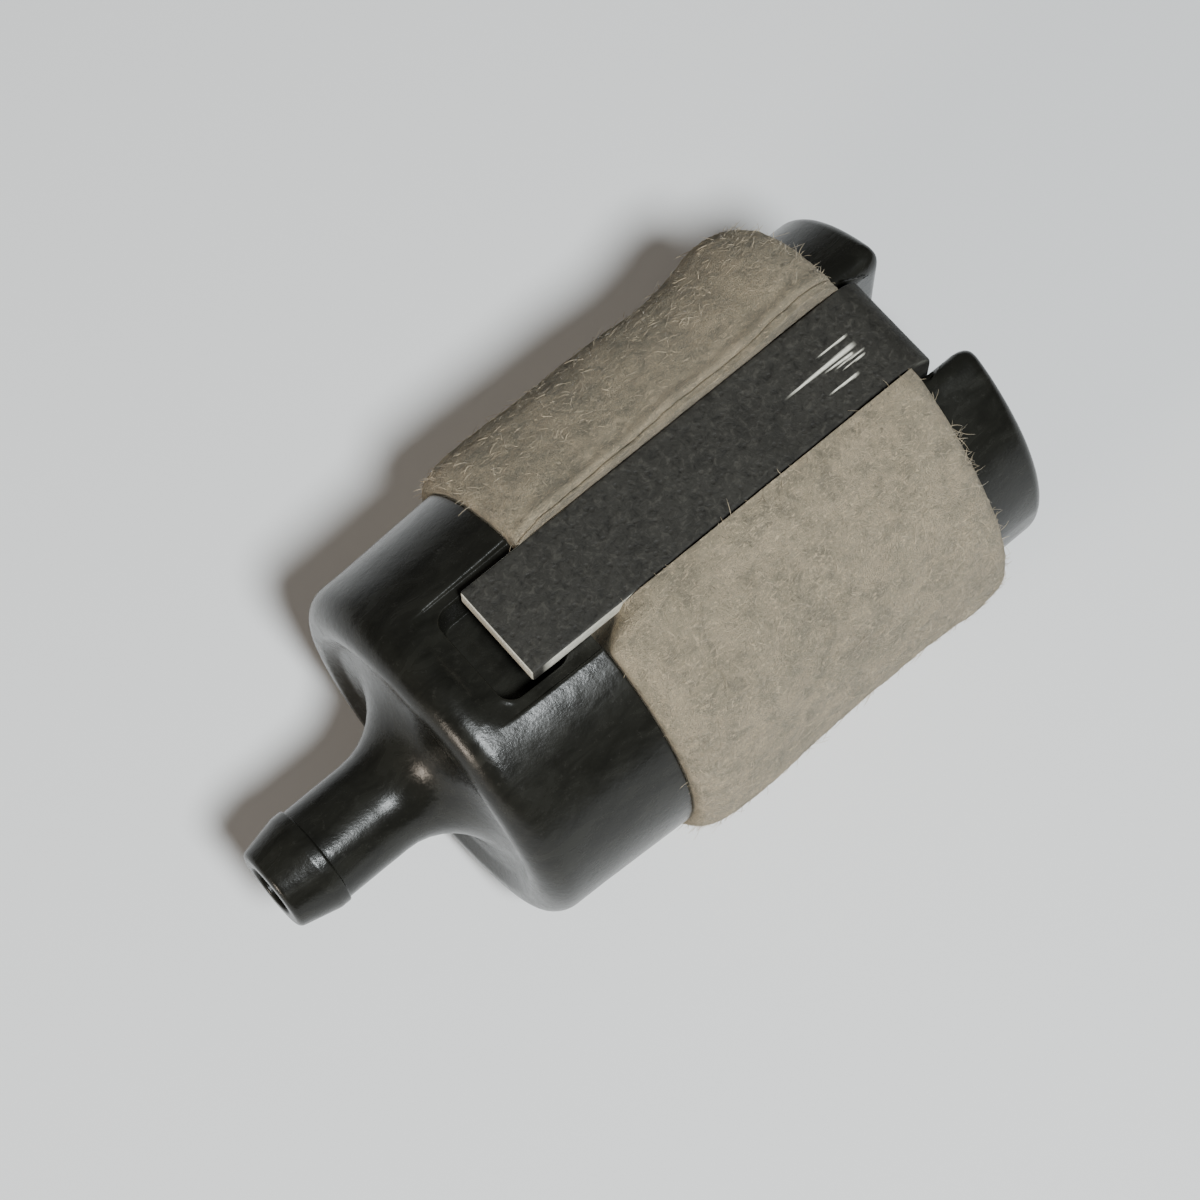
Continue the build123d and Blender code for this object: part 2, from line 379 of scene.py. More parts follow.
class Finish:
    """One node material, with short ways to add its noise, ramps, mixes and bump."""

    def __init__(self, name):
        self.material = bpy.data.materials.new(name)
        self.material.use_nodes = True
        self.tree = self.material.node_tree
        self.shader = self.tree.nodes["Principled BSDF"]
        self.place = self.tree.nodes.new("ShaderNodeTexCoord").outputs["Object"]

    def link(self, source, target):
        """Joins an output socket to an input socket."""
        self.tree.links.new(source, target)

    def set(self, **values):
        """Sets fixed values on the shader's own sockets, with _ for a space in a name."""
        for label, value in values.items():
            self.shader.inputs[label.replace("_", " ")].default_value = value

    def node(self, kind, **values):
        """New node of a kind, with fixed values on its sockets and _ for a space in a name."""
        node = self.tree.nodes.new(kind)
        for label, value in values.items():
            node.inputs[label.replace("_", " ")].default_value = value
        return node

    def stretched(self, scale):
        """Object coordinates in millimetres times a scale for each axis."""
        mapping = self.node("ShaderNodeMapping", Scale=[part / MM for part in scale])
        self.link(self.place, mapping.inputs["Vector"])
        return mapping.outputs["Vector"]

    def noise(self, per_mm, detail=4.0, roughness=0.55, distortion=0.0, stretch=(1, 1, 1)):
        """Cloudy noise with per_mm features in a millimetre."""
        node = self.node(
            "ShaderNodeTexNoise",
            Scale=per_mm, Detail=detail, Roughness=roughness, Distortion=distortion,
        )
        self.link(self.stretched(stretch), node.inputs["Vector"])
        return node.outputs["Fac"]

    def spots(self, per_mm):
        """Distance to the nearest of scattered points, per_mm of them in a millimetre."""
        node = self.node("ShaderNodeTexVoronoi", Scale=per_mm)
        self.link(self.stretched((1, 1, 1)), node.inputs["Vector"])
        return node.outputs["Distance"]

    def between(self, value, low, high, low_to=0.0, high_to=1.0):
        """Maps a value from the range low..high to low_to..high_to, smoothly and clamped."""
        node = self.node(
            "ShaderNodeMapRange", From_Min=low, From_Max=high, To_Min=low_to, To_Max=high_to
        )
        node.interpolation_type = "SMOOTHSTEP"
        self.link(value, node.inputs["Value"])
        return node.outputs["Result"]

    def sum_of(self, first, second, operation="ADD"):
        """Arithmetic on two values, where the second may be a number."""
        node = self.node("ShaderNodeMath")
        node.operation = operation
        self.link(first, node.inputs[0])
        if isinstance(second, (int, float)):
            node.inputs[1].default_value = second
        else:
            self.link(second, node.inputs[1])
        return node.outputs["Value"]

    def mix(self, share, first, second):
        """Colour between first and second. Each is a colour or a socket."""
        node = self.node("ShaderNodeMix")
        node.data_type = "RGBA"
        self.link(share, node.inputs["Factor"])
        for label, colour in (("A", first), ("B", second)):
            socket = next(i for i in node.inputs if i.name == label and i.type == "RGBA")
            if isinstance(colour, bpy.types.NodeSocket):
                self.link(colour, socket)
            else:
                socket.default_value = (*colour, 1.0)
        return next(item for item in node.outputs if item.type == "RGBA")

    def tones(self, value, low, high, colour, first, second):
        """One colour times first where the value is low, and times second where it is high."""
        share = self.between(value, low, high)
        return self.mix(share, tinted(colour, first), tinted(colour, second))

    def attribute(self, label):
        """Value that a mesh attribute holds."""
        node = self.node("ShaderNodeAttribute")
        node.attribute_name = label
        return node.outputs["Fac"]

    def bump(self, height, millimetres, after=None):
        """Bumps the surface by the height value times a depth in millimetres."""
        node = self.node("ShaderNodeBump", Distance=millimetres * MM)
        self.link(height, node.inputs["Height"])
        if after is not None:
            self.link(after, node.inputs["Normal"])
        return node.outputs["Normal"]

    def finish(self, colour=None, roughness=None, normal=None, metallic=None):
        """Joins worked-out values to the shader and returns the material."""
        links = {
            "Base Color": colour, "Roughness": roughness, "Normal": normal, "Metallic": metallic,
        }
        for label, source in links.items():
            if source is not None:
                self.link(source, self.shader.inputs[label])
        return self.material


def tinted(colour, factor):
    """A colour made lighter or darker by a factor, kept within 0 to 1."""
    return tuple(min(1.0, part * factor) for part in colour)


def moulded_plastic(name, colour):
    """Black moulded plastic: fine mould texture, faint flow marks and a thin dusty bloom."""
    look = Finish(name)
    grain = look.noise(9.0, 6.0, 0.6)
    flow = look.noise(0.7, 4.0, 0.6, 0.6, (0.6, 1.4, 1.4))
    dust = look.between(look.noise(2.2, 8.0, 0.7), 0.54, 0.8)
    shade = look.tones(flow, 0.3, 0.7, colour, 0.75, 1.35)
    shade = look.mix(look.sum_of(dust, 0.22, "MULTIPLY"), shade, (0.06, 0.056, 0.048))
    clean = look.between(flow, 0.25, 0.75, 0.21, 0.30)
    gloss = look.sum_of(clean, look.sum_of(dust, 0.12, "MULTIPLY"))
    normal = look.bump(grain, 0.007)
    normal = look.bump(look.noise(3.4, 3.0), 0.009, normal)
    normal = look.bump(look.noise(0.7, 2.0), 0.02, normal)
    look.set(IOR=1.36, Specular_IOR_Level=0.42)
    return look.finish(shade, gloss, normal)


def pressed_felt(name, colour, soiled):
    """Pressed wool felt: matted crossing fibres, cloudy soiling and a soft fibre sheen."""
    look = Finish(name)
    patch = look.between(look.noise(0.26, 4.0, 0.6, 0.4), 0.48, 0.76)
    mottle = look.noise(1.0, 7.0, 0.74, 0.6)
    strands = look.noise(4.4, 7.0, 0.78, 2.6, (0.45, 1.0, 1.0))
    crossing = look.noise(3.8, 7.0, 0.78, 3.0, (1.0, 0.5, 0.5))
    duller = (colour[0] * 0.86, colour[1] * 0.88, colour[2] * 0.88)
    shade = look.mix(look.between(look.noise(0.5, 4.0, 0.65, 0.5), 0.38, 0.62), colour, duller)
    shade = look.mix(look.sum_of(patch, 0.42, "MULTIPLY"), shade, soiled)
    shade = look.mix(look.between(mottle, 0.44, 0.64, 0.0, 0.85), shade, tinted(soiled, 0.95))
    shade = look.mix(look.between(strands, 0.5, 0.64, 0.0, 0.85), shade, tinted(colour, 1.6))
    shade = look.mix(look.between(crossing, 0.32, 0.48, 0.8, 0.0), shade, tinted(soiled, 0.5))
    normal = look.bump(strands, 0.26)
    normal = look.bump(crossing, 0.22, normal)
    normal = look.bump(look.noise(20.0, 4.0, 0.7, 1.5), 0.04, normal)
    look.set(Roughness=0.95, Specular_IOR_Level=0.15, Sheen_Weight=0.3, Sheen_Roughness=0.6)
    look.set(Sheen_Tint=(1.0, 0.94, 0.84, 1.0))
    return look.finish(shade, None, normal)


def felt_fibre(name, colour):
    """Single felt fibres, a little paler than the matted felt."""
    look = Finish(name)
    tone = look.noise(0.9, 3.0, 0.6)
    shade = look.tones(tone, 0.35, 0.65, colour, 0.72, 1.18)
    look.set(Roughness=0.85, Specular_IOR_Level=0.25, Sheen_Weight=0.3)
    return look.finish(shade)


def coated_steel(name, coating, bare):
    """Dark coated steel, bare where the mesh attribute says that it is sheared or scratched. The
    bare steel's near-white cream tone is partly painted highlight.
    """
    look = Finish(name)
    worn = look.attribute("bare")
    cloud = look.noise(0.55, 6.0, 0.65, 0.8)
    speck = look.noise(2.6, 8.0, 0.74, 0.6)
    pores = look.between(look.spots(2.4), 0.10, 0.34)
    shade = look.tones(cloud, 0.35, 0.68, coating, 0.86, 1.14)
    shade = look.mix(look.between(speck, 0.5, 0.66, 0.0, 0.8), shade, tinted(coating, 2.1))
    shade = look.mix(look.between(speck, 0.34, 0.48, 0.8, 0.0), shade, tinted(coating, 0.4))
    burr = look.noise(6.0, 5.0, 0.6, 0.0, (0.5, 4.0, 4.0))
    # bare steel: real wear, but its near-white tone with little metallic is a painted highlight
    steel = look.tones(burr, 0.3, 0.7, bare, 0.72, 1.1)
    colour = look.mix(worn, shade, steel)
    matte = look.between(speck, 0.3, 0.7, 0.5, 0.68)
    gloss = look.sum_of(matte, look.sum_of(worn, -0.18, "MULTIPLY"))
    metal = look.between(worn, 0.2, 0.8, 0.0, 0.12)
    height = look.sum_of(look.sum_of(speck, 0.7, "MULTIPLY"), look.sum_of(pores, 0.3, "MULTIPLY"))
    normal = look.bump(height, 0.05)
    normal = look.bump(cloud, 0.04, normal)
    look.set(Specular_IOR_Level=0.28)
    return look.finish(colour, gloss, normal, metal)


def natural_nylon(name, colour):
    """Unpigmented nylon: creamy, a little translucent, with fine flow marks."""
    look = Finish(name)
    flow = look.noise(0.8, 5.0, 0.6, 0.5, (0.4, 1.2, 1.2))
    shade = look.tones(flow, 0.3, 0.7, colour, 0.86, 1.08)
    gloss = look.between(look.noise(3.0, 5.0), 0.3, 0.7, 0.36, 0.5)
    normal = look.bump(look.noise(7.0, 5.0), 0.01)
    look.set(Subsurface_Weight=0.15, Subsurface_Scale=0.6 * MM)
    return look.finish(shade, gloss, normal)


def screen_thread(name, colour):
    """Fine nylon thread of the screen, faintly soiled by fuel."""
    look = Finish(name)
    soil = look.noise(0.35, 5.0, 0.65)
    shade = look.tones(soil, 0.4, 0.7, colour, 1.0, 0.7)
    gloss = look.between(look.noise(4.0, 3.0), 0.3, 0.7, 0.3, 0.45)
    return look.finish(shade, gloss)


def plain_floor(name, colour):
    """Pale matt floor with a barely visible tone change."""
    look = Finish(name)
    tone = look.noise(0.01, 3.0)
    shade = look.tones(tone, 0.3, 0.7, colour, 0.985, 1.0)
    look.set(Roughness=0.9, Specular_IOR_Level=0.1)
    return look.finish(shade)


# ---- head ----

NIPPLE_LENGTH = 8.8       # hose nipple, from its tip to the end face's raised ring
TIP_R = 2.03
TIP_EDGE = 0.32
BARB_LENGTH = 2.55        # nipple's tip to the barb's back
BARB_R = 2.5
NECK_R = 2.38
ROOT_FILLET = 3.35
DISH_R = 6.3              # outer edge of the end face's dished floor
DISH_DEPTH = 0.4
RING_R = 7.3              # inner edge of the raised ring's face
SHOULDER_LENGTH = 3.0     # raised ring to the skirt's first straight station
SKIRT_DRAFT = 0.22
RIM_EDGE = 0.12
BORE_R = 1.25
FUNNEL_R = 2.2
FUNNEL_LENGTH = 1.8
NOTCH_HALF = STRAP_HALF + 0.825   # half the notch's width across Y
NOTCH_LENGTH = 5.9        # back from the rim
POCKET_HALF = STRAP_HALF + 0.1    # half the blind pocket's width across Y
POCKET_FAR = 4.6          # blind pocket's far wall, back from the rim
POCKET_NEAR = 1.2         # blind pocket's near wall, back from the rim
POCKET_DEPTH = 1.9        # below the notch's floor
SEAT = LEG_OUT - 1.05     # notch floor, just under the strap's leg
SOCKET_R = 3.32
SOCKET_DEPTH = 4.0        # in from the rim; the cage tube stands in the socket
HUB_R = 4.62              # outside of the wall round the socket
SKIRT_WALL = 1.3
CORING_DEPTH = 5.4        # of the two pockets between the hub and the skirt
CORING_HALF = NOTCH_HALF + 0.7    # half the solid part between those two pockets


def rounded_box_distance(x, y, x_low, x_high, y_half, corner):
    """Distance outside a rounded rectangle, negative inside it.

    The rectangle lies between x_low and x_high and within y_half of the centre line.
    """
    middle, half = (x_low + x_high) / 2, (x_high - x_low) / 2
    out_x = np.abs(x - middle) - half + corner
    out_y = np.abs(y) - y_half + corner
    outside = np.hypot(np.maximum(out_x, 0), np.maximum(out_y, 0))
    return outside + np.minimum(np.maximum(out_x, out_y), 0) - corner


def head_columns():
    """Angles of the head grid's columns, closer together at the notches' walls."""
    walls = [-NOTCH_HALF, -POCKET_HALF, POCKET_HALF, NOTCH_HALF]
    across = crowded(-4.3, 4.3, 92, walls, 5.0, 0.3)
    return column_angles(across, RIM_R, 58)


def head_outline(count):
    """Half outline (x, radius) of the head from the nipple's tip to the rim's edge.

    The skirt's stations lie closer together at the ends of the notch and its pocket.
    """
    barb_back = TIP_X + BARB_LENGTH
    ring_x = TIP_X + NIPPLE_LENGTH
    shoulder_r = RIM_R - 0.3
    front = rounded_path([
        (TIP_X, 1.65, 0, 1),
        (TIP_X, TIP_R, TIP_EDGE, 1),
        (barb_back - 0.55, BARB_R, 0.6, 9),
        (barb_back, BARB_R, 0.10, 4),
        (barb_back + 0.02, NECK_R, 0.04, 3),
        (ring_x + DISH_DEPTH, NECK_R, ROOT_FILLET, 20),
        (ring_x + DISH_DEPTH, DISH_R, 1.2, 2),
        (ring_x, RING_R, 0.8, 4),
        (ring_x + 0.02, shoulder_r, 1.4, 2),
        (ring_x + SHOULDER_LENGTH, RIM_R - SKIRT_DRAFT, 0, 4),
    ], 9)
    places = [RIM_X - NOTCH_LENGTH, RIM_X - POCKET_FAR, RIM_X - POCKET_NEAR]
    skirt_start = ring_x + SHOULDER_LENGTH
    skirt_x = crowded(skirt_start, RIM_X - RIM_EDGE, count, places, 4.0, 0.35)[1:]
    share = (skirt_x - ring_x - SHOULDER_LENGTH) / (RIM_X - ring_x - SHOULDER_LENGTH)
    skirt = stacked(skirt_x, RIM_R - SKIRT_DRAFT + SKIRT_DRAFT * share)
    turn = np.linspace(0, np.pi / 2, 6)[1:]
    edge_x = RIM_X - RIM_EDGE + RIM_EDGE * np.sin(turn)
    edge = stacked(edge_x, RIM_R - RIM_EDGE + RIM_EDGE * np.cos(turn))
    return np.vstack([front, skirt, edge])


def carve_notch(x, across, height, softness):
    """Height above the axis of the head's skin after the notch and its pocket are sunk.

    Across the rounded rectangle's edge the skin falls to the floor as 1 - sqrt(1 - t^2).
    The floor slopes down from the far end to the pocket, which falls once more.
    """
    softness = softness * (0.36 + 0.20 * smooth(-2.5, 2.5, across))
    outer = rounded_box_distance(x, across, RIM_X - NOTCH_LENGTH, RIM_X + 4, NOTCH_HALF, 0.6)
    pocket_far, pocket_near = RIM_X - POCKET_FAR, RIM_X - POCKET_NEAR
    inner = rounded_box_distance(x, across, pocket_far, pocket_near, POCKET_HALF, 0.7)
    ledge = smooth(RIM_X - POCKET_FAR - 0.1, RIM_X - NOTCH_LENGTH - 0.3, x)
    floor = SEAT + 0.42 * ledge
    fall = np.clip((softness - outer) / (1.5 * softness), 0, 1)
    sunk = 1 - np.sqrt(1 - fall**2)
    height = height + (np.minimum(floor, height) - height) * sunk
    lip = 0.07 * bump(0.22, 0.14, inner) * smooth(RIM_X - 4.2, RIM_X - 4.7, x) * sunk
    return height + lip - POCKET_DEPTH * smooth(0.13, -0.12, inner) * sunk


def head_points(softness):
    """Grid of points over the whole head: rows along its outline, columns round the axis.

    The rows run over the outside from the tip to the rim, in over the rim's face, where
    two cored pockets sink along X, and back through the socket and the outlet bore.
    """
    angle = head_columns()
    outline = head_outline(62)
    x = outline[:, :1] + 0 * angle
    radius = outline[:, 1:] + 0 * angle
    across = RIM_R * np.sin(angle) + 0 * x
    side = radius * np.sin(angle)
    height = radius * np.abs(np.cos(angle))
    over = (np.abs(across) < 4.5) & (x > RIM_X - NOTCH_LENGTH - 1.2)
    height = np.where(over, carve_notch(x, across, height, softness), height)
    outside = stacked(x, side, height * np.sign(np.cos(angle)))

    share = crowded(0, 1, 30, [0.24, 0.78], 4.0, 0.05)[1:, None]
    start = outside[-1]
    end = round_axis(0, SOCKET_R, angle)
    face = start + (end - start) * share[..., None]
    face[..., 0] = RIM_X
    distance = np.hypot(face[..., 1], face[..., 2])
    inside = np.minimum(distance - HUB_R, RIM_R - SKIRT_WALL - distance)
    inside = np.minimum(inside, np.abs(face[..., 1]) - CORING_HALF)
    face[..., 0] -= CORING_DEPTH * smooth(0.0, 0.22, inside)

    socket_x = RIM_X - SOCKET_DEPTH
    inner = rounded_path([
        (RIM_X, SOCKET_R, 0, 1),
        (socket_x, SOCKET_R, 0.1, 8),
        (socket_x, FUNNEL_R, 0.1, 3),
        (socket_x - FUNNEL_LENGTH, BORE_R, 0.4, 5),
        (TIP_X, BORE_R, 0.15, 18),
        (TIP_X, 1.55, 0, 1),
    ], 4)[1:]
    bore = round_axis(inner[:, :1], inner[:, 1:], angle)
    points = np.concatenate([outside, face, bore])
    wobble = layered_noise(points, 3.4, 2, 11) * 0.018 + layered_noise(points, 0.9, 2, 12) * 0.005
    outward = points * np.array([0, 1, 1])
    outward /= np.maximum(np.linalg.norm(outward, axis=-1, keepdims=True), 0.5)
    skin = smooth(1.6, 2.2, np.hypot(points[..., 1], points[..., 2]))
    points = points + outward * (wobble * skin)[..., None]
    return points + TO_AXIS


class FUELFILTER_OT_head(bpy.types.Operator):
    """Build the moulded head with its barbed hose nipple and the two strap notches"""

    bl_idname = "fuel_filter.head"
    bl_label = "Build Head"

    def execute(self, context):
        softness = context.scene.filter_sizes.edge_softness / MM
        shell = closed_grid(head_points(softness), row_loop=True, column_loop=True)
        look = moulded_plastic("black_head_plastic", context.scene.filter_colours.plastic)
        piece = make_piece("head_moulding", [shell], look)
        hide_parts("head")
        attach(piece, "filter_head")
        return {"FINISHED"}


# ---- felt sleeve ----

FELT_BORE_R = 4.15
FELT_RISE = 1.9           # length over which the felt rises beside the head's rim
FELT_WORN = 1.7           # how far its start is worn back beside the strap
FELT_CREEP = 0.85         # how much further its end creeps over the cap on the +Y side
FIBRE_LENGTH = 0.32       # middle length of a loose fibre
FIBRES_AT_END = 0.08      # share of the fibres that stand at the felt's end
FIBRES_AT_START = 0.05    # share of the fibres that stand at its start
GROOVE_HALF = STRAP_HALF + 0.06   # half the groove that the strap presses into the felt
FELT_SEAT_X = CAP_LOW[0] + 4.45   # floor of the seat that the end cap's disc sits in
FELT_SEAT_R = CAP_R + 0.1


def felt_end(angle):
    """X of the felt's end: it creeps furthest over the end cap on the +Y side."""
    creep = FELT_CREEP * smooth(0.1, 1.0, np.sin(angle))
    return FELT_END_X + 0.25 + creep + 0.15 * np.cos(3 * angle)


def felt_start(angle):
    """X of the felt's start: on top, beside the strap's -Y edge, it is worn back."""
    across = FELT_R * np.sin(angle)
    worn = smooth(-GROOVE_HALF - 1.6, -GROOVE_HALF, across)
    worn = worn * smooth(0.8 - GROOVE_HALF, -GROOVE_HALF, across) * (np.cos(angle) > 0)
    return FELT_LOW[0] + FELT_WORN * worn


def felt_radius(x, angle, flare):
    """Radius of the felt's outside at x and at an angle from +Z towards +Y.

    A quarter ellipse rises from the head's rim, bell curves add the swelling at both
    ends and the dip between them, and layered noise adds the lumps of pressed wool.
    """
    start, end = felt_start(angle), felt_end(angle)
    rise = np.clip((x - start) / FELT_RISE, 0, 1)
    radius = FELT_R - 0.62 + 0.70 * np.sqrt(1 - (1 - rise) ** 2)
    left = smooth(-0.4, 0.9, np.sin(angle))
    right = smooth(0.2, 0.95, -np.sin(angle))
    radius = radius + flare * (0.40 + 0.80 * left) * bump(end - 2.0, 1.5, x)
    radius = radius - 0.16 * left * bump(end - 6.0, 1.8, x)
    radius = radius + 0.24 * right * bump(start + 3.2, 2.6, x)
    fall = np.clip((x - (end - 0.9)) / 0.9, 0, 1)
    radius = radius - 0.75 * (1 - np.sqrt(1 - 0.98 * fall**2))
    place = round_axis(x, FELT_R, angle)
    lumps = 0.085 * layered_noise(place, 4.2, 2, 31) + 0.040 * layered_noise(place, 1.1, 2, 35)
    return radius + lumps


def carve_groove(across, height, place):
    """Height of the felt after the strap's groove is pressed in, with its soft lips.

    The +Y lip stands up as a ridge and has a thin slit beside it, where the felt's ends
    meet. The groove's floor is flat under the strap.
    """
    wander = across + 0.07 * layered_noise(place, 1.3, 2, 41)
    offset = 0.24 + 0.26 * smooth(1.0, 10.0, place[..., 0])
    ridge = 0.13 * bump(GROOVE_HALF + offset + 0.28, 0.26, wander)
    slit = 0.17 * bump(GROOVE_HALF + offset, 0.06, wander)
    near_head = smooth(0.4, -1.6, place[..., 0])
    lips = (0.10 + 0.36 * near_head) * bump(-GROOVE_HALF - 0.1, 0.4 + 0.3 * near_head, wander)
    height = height + ridge - slit - lips
    sunk = smooth(GROOVE_HALF + 0.05, GROOVE_HALF - 0.05, np.abs(across))
    return height + (np.minimum(SEAT, height) - height) * sunk


def felt_columns():
    """Angles of the felt grid's columns, closer together at the groove's lips."""
    walls = [-GROOVE_HALF, GROOVE_HALF, GROOVE_HALF + 0.25, GROOVE_HALF + 0.5]
    across = crowded(-4.2, 4.2, 82, walls, 6.0, 0.11)
    return column_angles(across, FELT_R, 118)


def felt_points(flare):
    """Grid over the whole felt sleeve: rows round its section, columns round the axis.

    The outside follows felt_radius, with the strap's groove pressed in and a fine grain.
    From its end the rows go in over the seat's lip, back along the bore and out again.
    """
    angle = felt_columns()
    start, end = felt_start(angle), felt_end(angle)
    share = crowded(0, 1, 128, [0, 1], 2.5, 0.04)[:, None]
    outer_x = start + (end - start) * share
    radius = felt_radius(outer_x, angle + 0 * outer_x, flare)
    side = radius * np.sin(angle)
    height = radius * np.abs(np.cos(angle))
    across = FELT_R * np.sin(angle) + 0 * outer_x
    half = np.sign(np.cos(angle))
    place = stacked(outer_x, across, height * half)
    grain = 0.042 * layered_noise(place, 0.42, 2, 45)
    height = np.where(np.abs(across) < 4.4, carve_groove(across * half, height, place), height)
    outside = stacked(outer_x, side, height * half)
    outward = unit(stacked(0, side, height * half))
    outside = outside + outward * grain[..., None]

    lip = round_axis(end - 0.05, FELT_SEAT_R + 0.06, angle)
    lip[..., 2] = np.clip(lip[..., 2], outside[-1, :, 2].min(), outside[-1, :, 2].max())
    seat_edge = round_axis(FELT_SEAT_X, FELT_SEAT_R, angle)
    bore_end = round_axis(FELT_SEAT_X, FELT_BORE_R, angle)
    bore_start = round_axis(FELT_LOW[0], FELT_BORE_R, angle)
    rings = [outside[-1], lip, seat_edge, bore_end, bore_start, outside[0]]
    inner = np.concatenate([
        first + (last - first) * np.linspace(0, 1, steps + 1)[1:, None, None]
        for first, last, steps in zip(rings, rings[1:], (7, 7, 14, 18, 19))
    ])[:-1]
    rough = 0.035 * layered_noise(inner, 0.5, 2, 47)
    inner[..., 1:] *= 1 + (rough / np.linalg.norm(inner[..., 1:], axis=-1))[..., None]
    points = np.concatenate([outside, inner]) + TO_AXIS
    points[..., 2] = np.maximum(points[..., 2], 0)
    return points


class FUELFILTER_OT_felt(bpy.types.Operator):
    """Build the thick felt sleeve, swollen at its ends and pressed in under the strap"""

    bl_idname = "fuel_filter.felt"
    bl_label = "Build Felt Sleeve"

    def execute(self, context):
        flare = context.scene.filter_sizes.felt_flare / MM
        colours = context.scene.filter_colours
        shell = closed_grid(felt_points(flare), row_loop=True, column_loop=True)
        look = pressed_felt("wool_felt", colours.felt, colours.felt_soiled)
        piece = make_piece("felt_ring", [shell], look)
        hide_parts("felt_sleeve")
        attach(piece, "felt")
        return {"FINISHED"}


def fibre_paths(count, flare, generator):
    """Centre lines (count, 4, 3) of loose fibres, with their side and lift directions.

    Each starts on the felt's skin, leaves it at a low angle in a random direction along
    the skin, and bends in a parabola sideways and back towards the felt.
    """
    angle = 2 * np.pi * generator.random(count)
    start, end = felt_start(angle), felt_end(angle) - 0.1
    x = start + (end - start) * generator.random(count)
    near_end = generator.random(count) < FIBRES_AT_END
    x = np.where(near_end, end - 1.0 * generator.random(count) ** 2, x)
    near_rim = generator.random(count) < FIBRES_AT_START
    x = np.where(near_rim, start + 0.5 * generator.random(count), x)
    across = FELT_R * np.sin(angle)
    in_groove = np.abs(across) < GROOVE_HALF + 0.05
    angle = np.where(in_groove, angle + 0.55 * np.sign(np.sin(angle) * np.cos(angle)), angle)
    radius = felt_radius(x, angle, flare) - 0.02
    outward = round_axis(0, 1, angle)
    around = stacked(0, np.cos(angle), -np.sin(angle))
    along = stacked(1 + 0 * x, 0, 0)
    root = round_axis(x, radius, angle)
    heading = 2 * np.pi * generator.random(count)
    lift = np.radians(4 + 40 * generator.random(count) ** 2.4)
    flat = np.cos(heading)[:, None] * along + np.sin(heading)[:, None] * around
    over = (near_end & (generator.random(count) < 0.5))[:, None]
    outward = unit(np.where(over, outward + 0.9 * along, outward))
    direction = np.cos(lift)[:, None] * flat + np.sin(lift)[:, None] * outward
    spread = np.exp(0.5 * generator.standard_normal(count))
    length = np.clip(FIBRE_LENGTH * spread, 0.12, 1.0)
    sideways = np.cross(outward, flat)
    curl = (generator.random(count) - 0.5)[:, None] * 1.6 * sideways
    curl = curl - (0.15 + 0.5 * generator.random(count))[:, None] * np.sin(lift)[:, None] * outward
    step = np.linspace(0, 1, 4)[:, None]
    path = root[:, None] + length[:, None, None] * (
        step * direction[:, None] + step**2 * 0.7 * curl[:, None]
    )
    tangent = unit(direction[:, None] + 2 * step * 0.7 * curl[:, None])
    side = unit(np.cross(tangent, outward[:, None] + 0.3 * along[:, None]))
    return path, side, np.cross(tangent, side)


class FUELFILTER_OT_fibres(bpy.types.Operator):
    """Scatter loose fibres over the felt sleeve's outside"""

    bl_idname = "fuel_filter.fibres"
    bl_label = "Scatter Felt Fibres"

    def execute(self, context):
        sizes = context.scene.filter_sizes
        generator = np.random.default_rng(7)
        path, side, lift = fibre_paths(sizes.fibre_count, sizes.felt_flare / MM, generator)
        thickness = sizes.fibre_radius / MM * (0.7 + 0.6 * generator.random(sizes.fibre_count))
        taper = thickness[:, None] * np.array([1.0, 0.95, 0.8, 0.45])
        path = path + TO_AXIS
        path[..., 2] = np.maximum(path[..., 2], 0.02)
        shell = tubes(path, side, lift, taper, 3)
        look = felt_fibre("wool_fibre", context.scene.filter_colours.felt)
        piece = make_piece("felt_fibres", [shell], look)
        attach(piece, "felt")
        return {"FINISHED"}


# ---- weight strap ----

STRAP_THICKNESS = 1.0
BEND_R = 1.0              # radius of the centre line at each bend
END_CORNER = 0.14         # rounding of the corners at the strap's ends
SCRATCHES = (             # start x, start y, end x, end y, half width
    (13.15, 0.57, 14.75, 0.55, 0.040),
    (10.90, 0.01, 14.75, 0.02, 0.085),
    (12.90, -0.18, 14.45, -0.27, 0.050),
    (13.40, -0.36, 14.90, -0.42, 0.030),
    (13.60, -0.58, 14.80, -0.62, 0.026),
    (12.40, -1.09, 13.95, -1.13, 0.050),
)


def strap_path():
    """Stations of the strap's centre line: x, height and the outward normal's two parts.

    A straight top leg, a quarter circle, the straight crossbar, a quarter circle and a
    straight bottom leg. The stations lie closer together at the strap's two ends.
    """
    leg_height = LEG_OUT - STRAP_THICKNESS / 2
    bend_x = CROSSBAR_X - STRAP_THICKNESS / 2 - BEND_R
    leg_x = crowded(STRAP_END_X, bend_x, 178, [STRAP_END_X], 14.0, 0.22)
    turn = np.linspace(0, np.pi / 2, 15)[1:-1]
    cross = np.linspace(leg_height - BEND_R, 0, 34)
    sin, cos = np.sin(turn), np.cos(turn)
    upper = np.concatenate([
        stacked(leg_x, leg_height, 0, 1),
        stacked(bend_x + BEND_R * sin, leg_height - BEND_R + BEND_R * cos, sin, cos),
        stacked(bend_x + BEND_R, cross, 1, 0),
    ])
    lower = upper[-2::-1] * np.array([1, -1, 1, -1])
    return np.concatenate([upper, lower])


